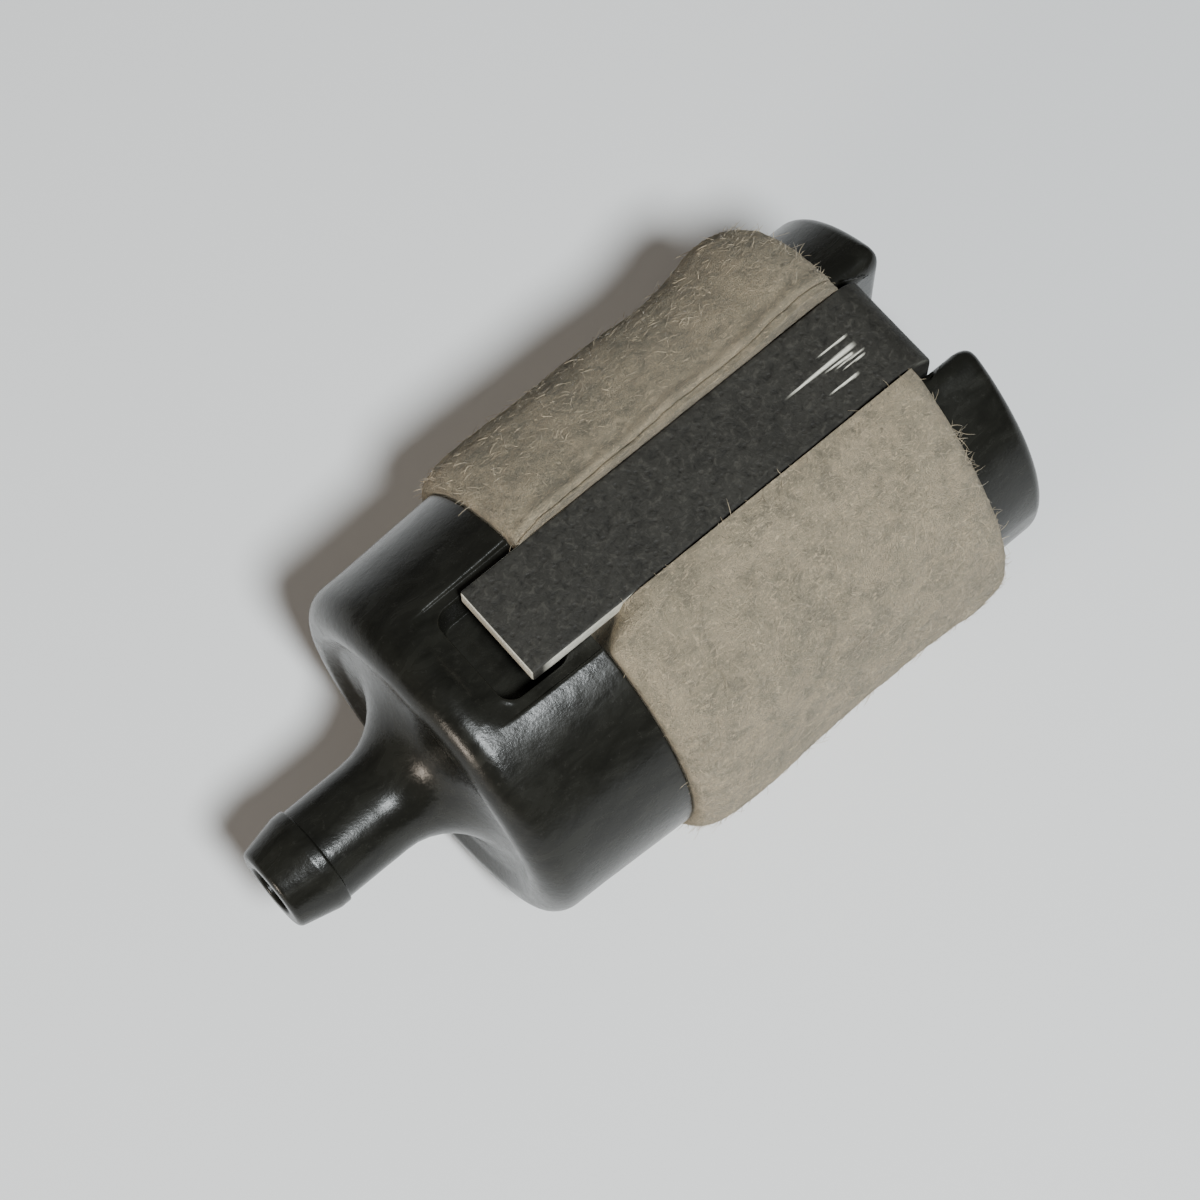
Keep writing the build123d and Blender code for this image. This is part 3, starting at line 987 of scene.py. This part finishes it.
def strap_section():
    """Section columns as (core across, core out, edge across, edge out).

    A point of the section is its core place on the flats plus the edge's unit direction
    times the rounding. The outer face has the most columns, closer at the scratches.
    """
    outer = crowded(-1, 1, 66, [-0.47, -0.23, -0.1, 0.01, 0.24], 3.0, 0.06)
    inner = np.linspace(1, -1, 14)
    side = np.linspace(1, -1, 6)
    turn = np.linspace(0, np.pi / 2, 5)[1:-1]

    def corner(across, out, angle):
        return stacked(across, out, np.sin(angle), np.cos(angle))

    return np.concatenate([
        stacked(outer, 1.0, 0.0, 1.0),
        corner(1.0, 1.0, turn),
        stacked(1.0, side, 1.0, 0.0),
        corner(1.0, -1.0, turn + np.pi / 2),
        stacked(inner, -1.0, 0.0, -1.0),
        corner(-1.0, -1.0, turn + np.pi),
        stacked(-1.0, -side, -1.0, 0.0),
        corner(-1.0, 1.0, turn + 1.5 * np.pi),
    ])


def scratch_depth(x, across):
    """How deep each point lies in a scratch, from 0 to 1.

    For each scratch this is the distance to its line, stepped from the half width
    inwards, and faded over its two ends.
    """
    depth = np.zeros_like(x)
    for start_x, start_y, end_x, end_y, half in SCRATCHES:
        share = (x - start_x) / (end_x - start_x)
        middle = start_y + (end_y - start_y) * share
        width = half * (0.45 + 0.9 * np.clip(share, 0, 1))
        fade = smooth(-0.06, 0.22, share) * smooth(1.04, 0.9, share)
        depth = np.maximum(depth, smooth(1.25, 0.55, np.abs(across - middle) / width) * fade)
    return depth


def strap_shell(edge):
    """Closed shell of the strap, and how bare its steel is at each vertex.

    Each point is the path plus the section's offset along the path's normal. Towards an
    end the section narrows along a quarter circle. The steel is bare in the scratches,
    on the end faces and, near the ends, on the sides.
    """
    path = strap_path()
    centre_x, centre_height, normal_x, normal_out = np.hsplit(path, 4)
    section = strap_section()
    length = np.hypot(*np.diff(path[:, :2], axis=0).T)
    along = np.concatenate([[0], np.cumsum(length)])
    from_end = np.minimum(along, along[-1] - along)[:, None]
    in_corner = np.clip(END_CORNER - from_end, 0, END_CORNER)
    in_edge = np.clip(edge - from_end, 0, edge)
    half_width = STRAP_HALF - END_CORNER + np.sqrt(END_CORNER**2 - in_corner**2)
    half_thick = STRAP_THICKNESS / 2 - edge + np.sqrt(edge**2 - in_edge**2)
    across = section[:, 0] * (half_width - edge) + edge * section[:, 2]
    out = section[:, 1] * (half_thick - edge) + edge * section[:, 3]
    x = centre_x + normal_x * out
    height = centre_height + normal_out * out
    outer_face = smooth(0.2, 0.9, section[:, 3]) + 0 * x
    place = stacked(x, across, height)
    top_leg = (centre_height > 0) & (normal_out > 0.99)
    scratched = scratch_depth(x, across) * outer_face * top_leg
    dents = 0.012 * layered_noise(place, 2.6, 2, 51) + 0.005 * layered_noise(place, 0.7, 2, 53)
    out = (dents - 0.012) * outer_face - 0.02 * scratched
    waver = 1 + 0.004 * layered_noise(place * np.array([1, 0, 1]), 1.6, 2, 57)
    points = stacked(x + normal_x * out, across * waver, height + normal_out * out + AXIS_Z)
    on_side = smooth(0.86, 0.99, np.abs(section[:, 2])) + 0 * x
    worn = 0.62 + 0.5 * layered_noise(place, 1.9, 3, 59)
    worn = np.maximum(worn - 0.75, smooth(8.0, 5.5, from_end)) * smooth(0.45, 1.1, from_end)
    bare = np.maximum(scratched, on_side * np.clip(worn, 0, 1))
    bare = np.maximum(bare, smooth(0.05, 0.01, from_end) + 0 * x)
    shell = closed_grid(points, row_loop=False, column_loop=True)
    return shell, np.concatenate([bare.ravel(), [1.0, 1.0]])


class FUELFILTER_OT_strap(bpy.types.Operator):
    """Build the U-shaped steel strap that gives the filter its weight"""

    bl_idname = "fuel_filter.strap"
    bl_label = "Build Weight Strap"

    def execute(self, context):
        colours = context.scene.filter_colours
        shell, bare = strap_shell(context.scene.filter_sizes.strap_edge / MM)
        look = coated_steel("coated_steel", colours.coating, colours.bare_steel_with_highlight)
        piece = make_piece("steel_strap", [shell], look, {"bare": bare})
        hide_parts("weight_strap")
        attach(piece, "strap")
        return {"FINISHED"}


# ---- end cap ----

CHANNEL_HALF = STRAP_HALF + 0.225   # half the channel that the strap's crossbar lies in
CHANNEL_FLOOR_X = CROSSBAR_X - STRAP_THICKNESS - 0.05
CHANNEL_EDGE = 0.6
CAP_FLAT = LEG_OUT - 1.05 # half the disc's height in the channel, under the legs
CAP_CORNER = 0.45
CAP_EDGE = 0.6            # rounding of the disc's rim
LOBE_CORNER = 1.2         # rounding of the lobes' corners beside the channel
PLUG_LENGTH = 4.5
PLUG_R = 2.45
CAP_BACK_X = CAP_LOW[0] + PLUG_LENGTH


def cap_rows():
    """Rows of the cap's top as (across, top x), from one edge to the other.

    The profile is flat in the channel, climbs its straight wall, turns over its rounded
    edge and is flat again to the rim, where the rows lie closer together.
    """
    floor = np.linspace(0, CHANNEL_HALF, 13)[:-1]
    wall = np.linspace(CHANNEL_FLOOR_X, CAP_END_X - CHANNEL_EDGE, 9)
    turn = np.linspace(0, np.pi / 2, 8)[1:]
    low, high = CHANNEL_HALF + CHANNEL_EDGE, CAP_R - 0.02
    near = np.linspace(low, low + LOBE_CORNER, 9)[1:]
    land = near[-1] + (high - near[-1]) * np.sin(np.linspace(0, np.pi / 2, 30)[1:])
    land = np.concatenate([near, land])
    across = np.concatenate([
        floor, CHANNEL_HALF + 0 * wall, low - CHANNEL_EDGE * np.cos(turn), land
    ])
    top = np.concatenate([
        floor * 0 + CHANNEL_FLOOR_X, wall, CAP_END_X - CHANNEL_EDGE * (1 - np.sin(turn)),
        land * 0 + CAP_END_X,
    ])
    return np.concatenate([-across[:0:-1], across]), np.concatenate([top[:0:-1], top])


def quarter_fall(distance, start, radius):
    """Drop below a flat of a quarter circle that begins at start and ends radius further on."""
    into = np.clip(distance - start, 0, radius)
    return radius - np.sqrt(radius**2 - into**2)


def cap_half_height(across):
    """Half the cap's height along Z at an offset across: the disc, flattened in the channel."""
    offset = np.abs(across)
    round_half = np.sqrt(np.maximum(CAP_R**2 - across**2, 0))
    corner = quarter_fall(CHANNEL_HALF + LOBE_CORNER - offset, 0, LOBE_CORNER)
    in_channel = smooth(CHANNEL_HALF + 0.01, CHANNEL_HALF - 0.04, offset)
    return round_half - corner * (1 - in_channel) + (CAP_FLAT - round_half) * in_channel


def cap_points():
    """Grid over the cap's disc: rows across Y, columns once round each row's section.

    Each section is a flat top that falls by a quarter circle at the rim, two sides and a
    flat back. The lobes turn down by one more quarter circle beside the channel.
    """
    across, top = cap_rows()
    count = len(across)
    spread = (CAP_R - 0.02) * np.sin(np.linspace(-np.pi / 2, np.pi / 2, count))
    under = 0.35 * across + 0.65 * spread
    lift = np.sin(np.linspace(-np.pi / 2, np.pi / 2, 84))
    y = across[:, None] + 0 * lift
    z = cap_half_height(y) * lift
    in_channel = (np.abs(y) <= CHANNEL_HALF) & (top[:, None] < CAP_END_X - CHANNEL_EDGE)
    rim_fall = np.maximum(
        quarter_fall(np.hypot(y, z), CAP_R - CAP_EDGE, CAP_EDGE),
        quarter_fall(np.abs(z), cap_half_height(y) - CAP_EDGE, CAP_EDGE),
    )
    channel_fall = quarter_fall(np.abs(z), CAP_FLAT - CAP_CORNER, CAP_CORNER)
    fall = np.where(in_channel, channel_fall, rim_fall)
    turned = quarter_fall(CHANNEL_HALF + CHANNEL_EDGE - np.abs(y), 0, CHANNEL_EDGE)
    end = np.where(in_channel, top[:, None], CAP_END_X - turned)
    x = np.minimum(top[:, None], end - fall)
    x = np.maximum(x, CHANNEL_FLOOR_X - CAP_CORNER)
    over = stacked(x, y, z)
    share = np.linspace(0, 1, 13)[1:-1]
    side_y = across[:, None] + (under - across)[:, None] * share
    side_z = cap_half_height(side_y)
    side_x = x[:, -1:] + (CAP_BACK_X - x[:, -1:]) * share
    far_side = stacked(side_x, side_y, side_z)
    near_side = stacked(side_x, side_y, -side_z)[:, ::-1]
    back_y = under[:, None] + 0 * lift
    back_z = cap_half_height(back_y) * lift
    back = stacked(CAP_BACK_X, back_y, back_z)[:, ::-1]
    points = np.concatenate([over, far_side, back, near_side], axis=1)
    facing = smooth(CHANNEL_FLOOR_X - 0.1, CHANNEL_FLOOR_X + 0.4, points[..., 0])
    points[..., 0] += 0.012 * facing * layered_noise(points, 2.8, 2, 61)
    return points + TO_AXIS


def plug_points():
    """Grid of the cap's plug: a round peg with a chamfered tip, turned round the axis."""
    tip = CAP_LOW[0]
    outline = rounded_path([
        (CAP_BACK_X + 0.3, PLUG_R, 0, 1),
        (tip + 0.4, PLUG_R, 0.1, 14),
        (tip, PLUG_R - 0.4, 0.06, 4),
        (tip, PLUG_R - 1.4, 0, 3),
    ], 4)
    angle = np.linspace(0, 2 * np.pi, 97)[:-1]
    return round_axis(outline[:, :1], outline[:, 1:], angle) + TO_AXIS


class FUELFILTER_OT_cap(bpy.types.Operator):
    """Build the end cap, a disc with a channel for the strap and a plug for the cage tube"""

    bl_idname = "fuel_filter.cap"
    bl_label = "Build End Cap"

    def execute(self, context):
        disc = closed_grid(cap_points(), row_loop=False, column_loop=True)
        plug = closed_grid(plug_points(), row_loop=False, column_loop=True)
        look = moulded_plastic("black_cap_plastic", context.scene.filter_colours.plastic)
        piece = make_piece("end_cap_disc", [disc, plug], look)
        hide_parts("end_cap")
        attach(piece, "cap")
        return {"FINISHED"}


# ---- mesh screen and cage tube ----

THREAD_R = 0.05
THREAD_SIDES = 4
WEAVE_R = SCREEN_HIGH[1] - 2 * THREAD_R   # middle of the woven layer


def thread_tubes(x, radius, angle, side, loop=False):
    """Screen threads whose middles run through the points at x, radius and angle."""
    centres = round_axis(x, radius, angle) + TO_AXIS
    lift = round_axis(0 * x, 1, angle)
    return tubes(centres, side, lift, 0 * radius + THREAD_R, THREAD_SIDES, loop)


def warp_threads(pitch, count):
    """Threads along X, waving over and under the rings with a cosine of the pitch."""
    x = np.linspace(SCREEN_LOW[0] + THREAD_R, SCREEN_HIGH[0] - THREAD_R, 126)
    angle = (np.arange(count) / count * 2 * np.pi)[:, None]
    wave = THREAD_R * np.cos(np.pi * (x - x[0]) / pitch + np.pi * (np.arange(count)[:, None] % 2))
    side = stacked(0 * x, np.cos(angle), -np.sin(angle))
    return thread_tubes(x, WEAVE_R + wave, angle, side)


def weft_threads(pitch, count):
    """Rings round the axis, waving the other way at each thread along X."""
    first = SCREEN_LOW[0] + THREAD_R
    ring = np.arange(int((SCREEN_HIGH[0] - THREAD_R - first) / pitch) + 1)[:, None]
    angle = np.arange(3 * count) / (3 * count) * 2 * np.pi
    wave = -THREAD_R * np.cos(count / 2 * angle + np.pi * (ring % 2))
    x = first + pitch * ring + 0 * angle
    side = stacked(-1 + 0 * x, 0, 0)
    return thread_tubes(x, WEAVE_R + wave, angle, side, loop=True)


class FUELFILTER_OT_screen(bpy.types.Operator):
    """Weave the fine nylon screen round the cage tube"""

    bl_idname = "fuel_filter.screen"
    bl_label = "Weave Screen"

    def execute(self, context):
        pitch = context.scene.filter_sizes.thread_pitch / MM
        count = 2 * int(np.pi * SCREEN_HIGH[1] / pitch)
        threads = [warp_threads(pitch, count), weft_threads(pitch, count)]
        look = screen_thread("nylon_thread", context.scene.filter_colours.nylon)
        piece = make_piece("woven_screen", threads, look)
        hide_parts("screen")
        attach(piece, "filter_head")
        return {"FINISHED"}


class FUELFILTER_OT_cage(bpy.types.Operator):
    """Give the windowed cage tube its unpigmented nylon"""

    bl_idname = "fuel_filter.cage"
    bl_label = "Finish Cage Tube"

    def execute(self, context):
        look = natural_nylon("cage_nylon", context.scene.filter_colours.nylon)
        for slot in bpy.data.objects["cage_tube"].material_slots:
            slot.material = look
        return {"FINISHED"}


# ---- stage ----

CAMERA_TARGET = Vector((0.83, 0.88, AXIS_Z)) * MM
CAMERA_DISTANCE = 160.18 * MM
CAMERA_TILT = 0.21453     # towards the hose nipple
CAMERA_LEAN = 0.27167     # towards -Y
CAMERA_ROLL = 0.68104
CAMERA_LENS = 106.2       # millimetres, on a 36 mm wide sensor
FLOOR_HALF = 1500 * MM
ROOM_COLOUR = (1.0, 0.98, 0.94, 1.0)
ROOM_STRENGTH = 0.06
# Each light: name, place and aim in millimetres, width in millimetres, watts, colour
LIGHTS = (
    ("key", (-34, -150, 300), (2, 0, 9), 60, 1.62, (0.93, 0.98, 1.0)),
    ("front", (-260, -30, 75), (-6, 0, 9), 50, 0.32, (1.0, 0.87, 0.73)),
    ("back", (60, 240, 150), (0, 0, 8), 200, 0.008, (1.0, 0.95, 0.88)),
)


def facing(place, aim):
    """Matrix of an object at place whose -Z axis looks at aim."""
    turn = (Vector(aim) - Vector(place)).to_track_quat("-Z", "Y")
    return Matrix.Translation(Vector(place) * MM) @ turn.to_matrix().to_4x4()


def camera_matrix():
    """Camera's axes: its back leans from +Z towards -Y and tilts towards -X, then it rolls."""
    back = Vector((
        -np.sin(CAMERA_TILT),
        -np.cos(CAMERA_TILT) * np.sin(CAMERA_LEAN),
        np.cos(CAMERA_TILT) * np.cos(CAMERA_LEAN),
    ))
    level = (Vector((1, 0, 0)) - back * back.x).normalized()
    upright = back.cross(level)
    right = level * np.cos(CAMERA_ROLL) - upright * np.sin(CAMERA_ROLL)
    up = back.cross(right)
    turn = Matrix((right, up, back)).transposed().to_4x4()
    return Matrix.Translation(CAMERA_TARGET + back * CAMERA_DISTANCE) @ turn


class FUELFILTER_OT_stage(bpy.types.Operator):
    """Set out the pale floor, the soft studio lights, the world and the camera"""

    bl_idname = "fuel_filter.stage"
    bl_label = "Set Stage"

    def execute(self, context):
        scene = context.scene
        mesh = bpy.data.meshes.new("floor")
        corners = [(-1, -1), (1, -1), (1, 1), (-1, 1)]
        corners = [(x * FLOOR_HALF, y * FLOOR_HALF, 0) for x, y in corners]
        mesh.from_pydata(corners, [], [(0, 1, 2, 3)])
        floor = bpy.data.objects.new("floor", mesh)
        scene.collection.objects.link(floor)
        floor.data.materials.append(plain_floor("pale_floor", scene.filter_colours.floor))

        for name, place, aim, width, power, colour in LIGHTS:
            light = bpy.data.lights.new(name, "AREA")
            light.shape = "DISK"
            light.size = width * MM
            light.energy = power
            light.color = colour
            lamp = bpy.data.objects.new(name, light)
            lamp.matrix_world = facing(place, aim)
            scene.collection.objects.link(lamp)

        world = bpy.data.worlds.new("pale_room")
        world.use_nodes = True
        background = world.node_tree.nodes["Background"]
        background.inputs["Color"].default_value = ROOM_COLOUR
        background.inputs["Strength"].default_value = ROOM_STRENGTH
        scene.world = world

        lens = bpy.data.cameras.new("camera")
        lens.sensor_width = 36
        lens.lens = CAMERA_LENS
        lens.clip_start = 5 * MM
        lens.clip_end = 10
        camera = bpy.data.objects.new("camera", lens)
        camera.matrix_world = camera_matrix()
        scene.collection.objects.link(camera)
        scene.camera = camera
        return {"FINISHED"}


# ---- sidebar panel and start ----

STEPS = (
    FUELFILTER_OT_head,
    FUELFILTER_OT_felt,
    FUELFILTER_OT_fibres,
    FUELFILTER_OT_strap,
    FUELFILTER_OT_cap,
    FUELFILTER_OT_screen,
    FUELFILTER_OT_cage,
    FUELFILTER_OT_stage,
)


class FUELFILTER_PT_sidebar(bpy.types.Panel):
    """Sizes, colours and build steps of the fuel filter"""

    bl_idname = "FUELFILTER_PT_sidebar"
    bl_label = "Fuel Filter"
    bl_space_type = "VIEW_3D"
    bl_region_type = "UI"
    bl_category = "Fuel Filter"

    def draw(self, context):
        for group in (context.scene.filter_sizes, context.scene.filter_colours):
            column = self.layout.column(align=True)
            for label in type(group).__annotations__:
                column.prop(group, label)
        for step in STEPS:
            self.layout.operator(step.bl_idname)


CLASSES = (FilterSizes, FilterColours, *STEPS, FUELFILTER_PT_sidebar)


def register():
    """Registers the classes and puts the sizes and colours on the scene."""
    for item in CLASSES:
        bpy.utils.register_class(item)
    bpy.types.Scene.filter_sizes = bpy.props.PointerProperty(type=FilterSizes)
    bpy.types.Scene.filter_colours = bpy.props.PointerProperty(type=FilterColours)


def unregister():
    """Takes the sizes, the colours and the classes away again."""
    del bpy.types.Scene.filter_colours
    del bpy.types.Scene.filter_sizes
    for item in reversed(CLASSES):
        bpy.utils.unregister_class(item)


def main():
    register()
    bpy.ops.fuel_filter.head()
    bpy.ops.fuel_filter.felt()
    bpy.ops.fuel_filter.fibres()
    bpy.ops.fuel_filter.strap()
    bpy.ops.fuel_filter.cap()
    bpy.ops.fuel_filter.screen()
    bpy.ops.fuel_filter.cage()
    bpy.ops.fuel_filter.stage()


if __name__ == "__main__":
    main()
